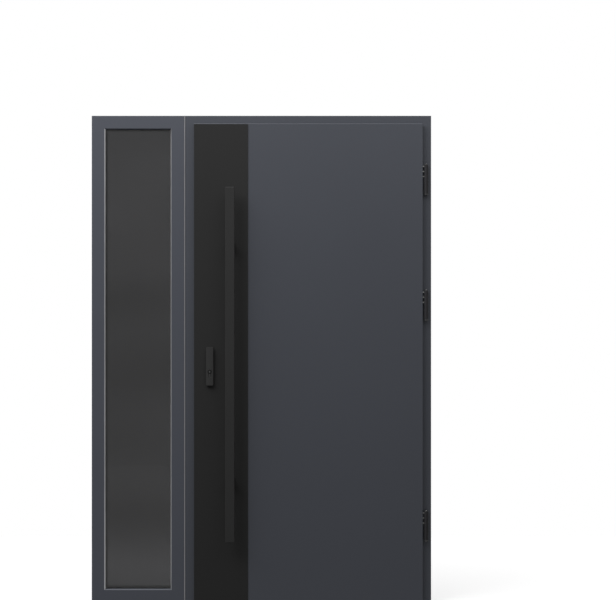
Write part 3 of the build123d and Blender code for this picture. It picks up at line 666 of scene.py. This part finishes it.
def screw_tree():
    """Geometry nodes that set a hex-socket screw on each point, facing the way that the point says."""
    tree = bpy.data.node_groups.new("Hex Socket Screws", "GeometryNodeTree")
    tree.interface.new_socket("Points", in_out="INPUT", socket_type="NodeSocketGeometry")
    for name in ("Head Radius", "Head Height", "Socket Radius"):
        tree.interface.new_socket(name, in_out="INPUT", socket_type="NodeSocketFloat")
    tree.interface.new_socket("Finish", in_out="INPUT", socket_type="NodeSocketMaterial")
    tree.interface.new_socket("Screws", in_out="OUTPUT", socket_type="NodeSocketGeometry")
    entry = tree.nodes.new("NodeGroupInput")
    given = {socket.name: Signal(tree, socket) for socket in entry.outputs if socket.name}
    points, radius, height = given["Points"], given["Head Radius"], given["Head Height"]
    head = points.node("GeometryNodeMeshCone",
                       sockets={"Vertices": HEAD_SIDES, "Radius Top": radius - HEAD_TAPER * height,
                                "Radius Bottom": radius, "Depth": height}, output="Mesh")
    key = points.node("GeometryNodeMeshCylinder",
                      sockets={"Vertices": SOCKET_SIDES, "Radius": given["Socket Radius"],
                               "Depth": 2 * SOCKET_DEPTH * height}, output="Mesh")
    lift = height.node("ShaderNodeCombineXYZ", sockets={"Z": height})
    raised = key.node("GeometryNodeTransform", sockets={"Geometry": key, "Translation": lift})
    cut = head.node("GeometryNodeMeshBoolean", {"operation": "DIFFERENCE", "solver": "EXACT"},
                    {"Mesh 1": head, "Mesh 2": raised}, "Mesh")
    facing = points.node("GeometryNodeInputNamedAttribute", {"data_type": "FLOAT_VECTOR"}, {"Name": "facing"},
                         "Attribute")
    aimed = facing.node("FunctionNodeAlignRotationToVector", {"axis": "Z"}, {"Vector": facing})
    turn = points.node("FunctionNodeRandomValue", {"data_type": "FLOAT"},
                       {"Max": 2 * math.pi / SOCKET_SIDES, "Seed": TURN_SEED}, "Value")
    spin = turn.node("FunctionNodeAxisAngleToRotation", sockets={"Axis": UP, "Angle": turn})
    rotation = aimed.node("FunctionNodeRotateRotation", {"rotation_space": "LOCAL"},
                          {"Rotation": aimed, "Rotate By": spin})
    placed = points.node("GeometryNodeInstanceOnPoints",
                         sockets={"Points": points, "Instance": cut, "Rotation": rotation})
    real = placed.node("GeometryNodeRealizeInstances", sockets={"Geometry": placed})
    coated = real.node("GeometryNodeSetMaterial", sockets={"Geometry": real, "Material": given["Finish"]})
    coated.node("NodeGroupOutput", sockets={"Screws": coated})
    return tree


def screw_mesh(name, tree, spots, radius, hardware, material):
    """A plain mesh of screws at (place, facing) pairs."""
    places, facings = zip(*spots)
    seats = bpy.data.meshes.new(name)
    seats.from_pydata(places, [], [])
    ways = seats.attributes.new("facing", "FLOAT_VECTOR", "POINT")
    ways.data.foreach_set("vector", [part for facing in facings for part in facing])
    holder = bpy.data.objects.new(name, seats)
    bpy.context.scene.collection.objects.link(holder)
    modifier = holder.modifiers.new(name, "NODES")
    modifier.node_group = tree
    values = {"Head Radius": radius, "Head Height": hardware.screw_height,
              "Socket Radius": radius * hardware.socket_share, "Finish": material}
    for item in tree.interface.items_tree:
        if item.name in values:
            modifier[item.identifier] = values[item.name]
    depsgraph = bpy.context.evaluated_depsgraph_get()
    mesh = bpy.data.meshes.new_from_object(holder.evaluated_get(depsgraph), depsgraph=depsgraph)
    mesh.name = name
    bpy.data.objects.remove(holder)
    bpy.data.meshes.remove(seats)
    return mesh


def plate_spots(node, facing, margin):
    """A screw near the upper and the lower end of a plate."""
    low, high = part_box(node)
    reach = (high - low) / 2
    face = middle(node) + Vector(facing[axis] * reach[axis] for axis in range(3))
    return [(Vector((face.x, face.y, height)), facing) for height in (low.z + margin, high.z - margin)]


def tread_spots(hardware):
    """A row of screws along the threshold."""
    low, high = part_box("threshold")
    first, last = low.x + hardware.threshold_margin, high.x - hardware.threshold_margin
    gap = (last - first) / (hardware.threshold_screws - 1)
    return [(Vector((first + gap * step, hardware.threshold_depth, high.z)), UP)
            for step in range(hardware.threshold_screws)]


def grub_spots(hardware):
    """A grub screw below the lever's neck and below each post of the pull bar."""
    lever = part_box("inside_lever")[0]
    neck = Vector((middle("inside_plate").x, lever.y + hardware.neck_margin, lever.z))
    posts = [middle(node) + DOWN * hardware.post_half for node in ("pull_post_upper", "pull_post_lower")]
    return [(place, DOWN) for place in (neck, *posts)]


# Operators

class DOOR_OT_coat_frame(bpy.types.Operator):
    """Coats the door frame and the sidelight's members."""

    bl_idname = "door.coat_frame"
    bl_label = "Coat Frame"

    def execute(self, context):
        coats = context.scene.door_coats
        finish_slot("frame_paint", powder_coat("Frame coat", coats.frame_colour, coats.paint_gloss, coats))
        sidelight = powder_coat("Sidelight coat", coats.sidelight_colour, coats.paint_gloss, coats)
        finish_slot("sidelight_paint", sidelight)
        return {"FINISHED"}


class DOOR_OT_coat_hinges(bpy.types.Operator):
    """Coats the hinges, leaves their prongs plated, and paints highlights in plating on their caps and near
    their feet.
    """

    bl_idname = "door.coat_hinges"
    bl_label = "Coat Hinges"

    def execute(self, context):
        scene = context.scene
        coats, hardware, metals = scene.door_coats, scene.door_hardware, scene.door_metals
        for level in ("upper", "middle", "lower"):
            for half, plating_and_highlight_mask in (("leaf", prongs_and_highlight_cap), ("frame", foot_highlight_band)):
                node = f"{level}_hinge_{half}_half"
                finish_node(node, hinge_coat(node, plating_and_highlight_mask, coats, hardware, metals))
        return {"FINISHED"}


class DOOR_OT_coat_leaf(bpy.types.Operator):
    """Coats the leaf, its accent panel, its handle and its escutcheon."""

    bl_idname = "door.coat_leaf"
    bl_label = "Coat Leaf"

    def execute(self, context):
        coats = context.scene.door_coats
        finish_slot("leaf_paint", powder_coat("Leaf coat", coats.leaf_colour, coats.paint_gloss, coats))
        finish_slot("accent_black", powder_coat("Accent coat", coats.accent_colour, coats.black_gloss, coats))
        finish_slot("handle_black", powder_coat("Handle coat", coats.handle_colour, coats.black_gloss, coats))
        plate = powder_coat("Escutcheon coat", coats.plate_colour, coats.black_gloss, coats)
        finish_node("outer_escutcheon", plate)
        return {"FINISHED"}


class DOOR_OT_finish_metals(bpy.types.Operator):
    """Finishes the beads, the coupling strip, the threshold, the lever and the lock."""

    bl_idname = "door.finish_metals"
    bl_label = "Finish Metals"

    def execute(self, context):
        metals = context.scene.door_metals
        # Painted highlight along the joint between the two frames.
        coupling = brushed_metal("Coupling highlight metal", metals.coupling_highlight_colour, "Z", metals, metals.lacquered)
        # Painted highlight: the lighter metal of the upright beads.
        finish_slot("bead_metal", brushed_metal("Bead highlight metal", metals.bead_highlight_colour, "Z", metals))
        finish_slot("coupling_metal", coupling)
        finish_slot("threshold_metal", brushed_metal("Threshold metal", metals.threshold_colour, "X", metals))
        finish_slot("lever_steel", brushed_metal("Lever steel", metals.steel_colour, "X", metals))
        # Painted shade: the cylinder's dark finish stands in for the shade of its recess and the gap round
        # it.
        finish_slot("cylinder_dark", cylinder_painted_shade("Cylinder painted shade", metals, context.scene.door_hardware))
        finish_slot("lock_steel", grained("Lock plating", metals.zinc_colour, ZINC))
        finish_node("lock_bolts", brushed_metal("Bolt steel", metals.bolt_colour, "Z", metals))
        return {"FINISHED"}


class DOOR_OT_glaze(bpy.types.Operator):
    """Finishes the panes, the spacer, the seals and the inside of the leaf."""

    bl_idname = "door.glaze"
    bl_label = "Glaze and Seal"

    def execute(self, context):
        glazing = context.scene.door_glazing
        finish_slot("tinted_glass", tinted_glass("Tinted glass", glazing))
        finish_slot("spacer_plastic", grained("Spacer plastic", glazing.spacer_colour, PLASTIC))
        finish_slot("edge_plastic", grained("Edge strip plastic", glazing.strip_colour, PLASTIC))
        finish_slot("seal_rubber", grained("Seal rubber", glazing.rubber_colour, RUBBER))
        finish_slot("insulation", rigid_foam("Leaf foam", glazing))
        return {"FINISHED"}


class DOOR_OT_add_key_plugs(bpy.types.Operator):
    """Adds the plugs that take the key, outdoors and indoors."""

    bl_idname = "door.add_key_plugs"
    bl_label = "Add Key Plugs"

    def execute(self, context):
        hardware, metals = context.scene.door_hardware, context.scene.door_metals
        # Painted shade: the plug is dark round its lighter middle, and its key slot darker still.
        materials = [brushed_metal("Plug painted shade", metals.plug_shade_colour, "Z", metals, metals.nickel_metal),
                     brushed_metal("Worn nickel", metals.worn_colour, "Z", metals),
                     keyway_painted_shade("Keyway", metals)]
        low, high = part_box("lock_cylinder")
        height = high.z - hardware.cylinder_radius
        for name, face, outward in (("outer_key_plug", low.y, OUTDOORS), ("inner_key_plug", high.y, INDOORS)):
            centre = Vector((middle("lock_cylinder").x, face, height))
            add_piece(name, key_plug(name, centre, outward, hardware, materials), "leaf")
        return {"FINISHED"}


class DOOR_OT_add_lever_collar(bpy.types.Operator):
    """Adds the ring round the neck of the inside lever."""

    bl_idname = "door.add_lever_collar"
    bl_label = "Add Lever Collar"

    def execute(self, context):
        hardware, metals = context.scene.door_hardware, context.scene.door_metals
        steel = brushed_metal("Collar steel", metals.steel_colour, "X", metals)
        centre = Vector((middle("inside_plate").x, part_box("inside_plate")[1].y, middle("inside_lever").z))
        mesh = collar("lever_collar", centre, INDOORS, hardware, steel)
        add_piece("lever_collar", mesh, "leaf")
        return {"FINISHED"}


class DOOR_OT_add_screws(bpy.types.Operator):
    """Adds the screws of the plates, the posts, the lever and the threshold."""

    bl_idname = "door.add_screws"
    bl_label = "Add Screws"

    def execute(self, context):
        scene = context.scene
        coats, hardware, metals = scene.door_coats, scene.door_hardware, scene.door_metals
        plating = grained("Screw plating", metals.screw_colour, ZINC)
        dark = powder_coat("Grub screw coat", coats.handle_colour, coats.black_gloss, coats)
        tree = screw_tree()
        margin = hardware.end_margin
        sets = (
            ("leaf_screws", "leaf", "lock_steel", plating, hardware.screw_radius,
             plate_spots("inside_plate", INDOORS, margin) + plate_spots("lock_faceplate", LEFT, margin)),
            ("frame_screws", "frame", "lock_steel", plating, hardware.screw_radius,
             plate_spots("strike_plate", RIGHT, margin) + tread_spots(hardware)),
            ("grub_screws", "leaf", "handle_black", dark, hardware.grub_radius, grub_spots(hardware)),
        )
        for name, body, slot, material, radius, spots in sets:
            add_piece(name, screw_mesh(name, tree, spots, radius, hardware, material), body)
        return {"FINISHED"}


class DOOR_OT_build_studio(bpy.types.Operator):
    """Sets up the floor, the backdrop, the lamps and the camera."""

    bl_idname = "door.build_studio"
    bl_label = "Build Studio"

    def execute(self, context):
        studio = context.scene.door_studio
        self.lay_floor(studio)
        self.light_backdrop(studio)
        target = Vector((CAD_BOX[0].x + CAD_BOX[1].x, 0, CAD_BOX[1].z)) / 2
        below = Vector(studio.top_place) + DOWN
        side, rear = (studio.side_size, studio.side_size), (studio.rear_size, studio.rear_size)
        top = (studio.top_width, studio.top_depth)
        self.hang_lamp("Side lamp", studio.side_place, target, side, studio.side_power)
        self.hang_lamp("Rear lamp", studio.rear_place, target, rear, studio.rear_power)
        self.hang_lamp("Top lamp", studio.top_place, below, top, studio.top_power)
        self.place_camera(studio)
        context.scene.view_settings.view_transform = "Standard"
        return {"FINISHED"}

    def ray(self, tree, kind):
        """One for rays of a kind, and zero for others."""
        path = tree.nodes.new("ShaderNodeLightPath")
        return Signal(tree, path.outputs[f"Is {kind} Ray"])

    def seen(self, tree):
        """One for rays from the camera, or off gloss or through glass, and zero for light."""
        camera, gloss, glass = (self.ray(tree, kind) for kind in ("Camera", "Glossy", "Transmission"))
        return camera.math("MAXIMUM", camera, camera.math("MAXIMUM", gloss, glass))

    def lay_floor(self, studio):
        """A floor that looks white, and shows the camera the shadow round the door's foot."""
        material, place = new_material("Pale floor")
        camera, seen = self.ray(material.node_tree, "Camera"), self.seen(material.node_tree)
        reach = studio.shadow_reach
        start = [-centre / size for centre, size in zip(studio.shadow_centre, reach)]
        near = place.node("ShaderNodeTexGradient", {"gradient_type": "SPHERICAL"},
                          {"Vector": stretched(place, reach, start)}, "Fac")
        shaded = near * camera
        dust = noise(place, studio.floor_dust, CLOUDED)
        tone = blend(shaded, mottled(dust, studio.floor_colour, studio.floor_mottle),
                     mottled(dust, studio.shaded_colour, studio.floor_mottle))
        light = seen * studio.floor_glow - shaded * (studio.floor_glow - studio.shaded_glow)
        matt = place.node("ShaderNodeBsdfDiffuse", sockets={"Color": tone})
        glow = place.node("ShaderNodeEmission", sockets={"Strength": light})
        both = place.node("ShaderNodeAddShader", sockets={0: matt, 1: glow})
        place.node("ShaderNodeOutputMaterial", sockets={"Surface": both})
        side, front, back = studio.floor_side, -studio.floor_front, studio.floor_back
        corners = [(-side, front, 0), (side, front, 0), (side, back, 0), (-side, back, 0)]
        mesh = bpy.data.meshes.new("Floor")
        mesh.from_pydata(corners, [], [range(len(corners))])
        mesh.materials.append(material)
        floor = bpy.data.objects.new("Floor", mesh)
        bpy.context.scene.collection.objects.link(floor)

    def light_backdrop(self, studio):
        """A white backdrop that gives the door only a part of its light."""
        world = bpy.data.worlds.new("Backdrop")
        world.use_nodes = True
        world.node_tree.nodes.clear()
        seen = self.seen(world.node_tree)
        light = studio.fill + (1 - studio.fill) * seen
        white = seen.node("ShaderNodeBackground", sockets={"Color": WHITE, "Strength": light})
        seen.node("ShaderNodeOutputWorld", sockets={"Surface": white})
        bpy.context.scene.world = world

    def hang_lamp(self, name, place, target, sides, watts):
        """A soft lamp that looks at a point and isn't seen itself."""
        lamp = bpy.data.lights.new(name, "AREA")
        lamp.shape, lamp.energy = "RECTANGLE", watts
        lamp.size, lamp.size_y = sides
        holder = bpy.data.objects.new(name, lamp)
        holder.location = place
        holder.rotation_euler = (target - Vector(place)).to_track_quat("-Z", "Y").to_euler()
        holder.visible_camera = False
        bpy.context.scene.collection.objects.link(holder)

    def place_camera(self, studio):
        """A level camera in front of the door."""
        lens = bpy.data.cameras.new("Camera")
        lens.lens = studio.lens
        camera = bpy.data.objects.new("Camera", lens)
        camera.location = studio.camera_place
        camera.rotation_euler = (math.pi / 2, 0, 0)
        bpy.context.scene.collection.objects.link(camera)
        bpy.context.scene.camera = camera


# Sidebar

class DOOR_PT_sidebar(bpy.types.Panel):
    """Lists the settings and the steps of the door."""

    bl_idname = "DOOR_PT_sidebar"
    bl_label = "Exterior Door"
    bl_space_type = "VIEW_3D"
    bl_region_type = "UI"
    bl_category = "Door"

    def draw(self, context):
        for name, kind in SETTINGS.items():
            box = self.layout.box()
            group = getattr(context.scene, name)
            for setting in kind.__annotations__:
                box.prop(group, setting)
        for step in STEPS:
            self.layout.operator(step.bl_idname)


SETTINGS = {"door_coats": DoorCoats, "door_metals": DoorMetals, "door_glazing": DoorGlazing,
            "door_hardware": DoorHardware, "door_studio": DoorStudio}
STEPS = (DOOR_OT_coat_frame, DOOR_OT_coat_hinges, DOOR_OT_coat_leaf, DOOR_OT_finish_metals, DOOR_OT_glaze,
         DOOR_OT_add_key_plugs, DOOR_OT_add_lever_collar, DOOR_OT_add_screws, DOOR_OT_build_studio)
CLASSES = (*SETTINGS.values(), *STEPS, DOOR_PT_sidebar)


def register():
    """Registers the classes, and hangs their settings on the scene."""
    for kind in CLASSES:
        bpy.utils.register_class(kind)
    for name, kind in SETTINGS.items():
        setattr(bpy.types.Scene, name, PointerProperty(type=kind))


def unregister():
    """Takes off what register put on, in the opposite order."""
    for name in SETTINGS:
        delattr(bpy.types.Scene, name)
    for kind in reversed(CLASSES):
        bpy.utils.unregister_class(kind)


def main():
    """Dresses the door and builds its studio."""
    register()
    bpy.ops.door.coat_frame()
    bpy.ops.door.coat_hinges()
    bpy.ops.door.coat_leaf()
    bpy.ops.door.finish_metals()
    bpy.ops.door.glaze()
    bpy.ops.door.add_key_plugs()
    bpy.ops.door.add_lever_collar()
    bpy.ops.door.add_screws()
    bpy.ops.door.build_studio()


if __name__ == "__main__":
    main()
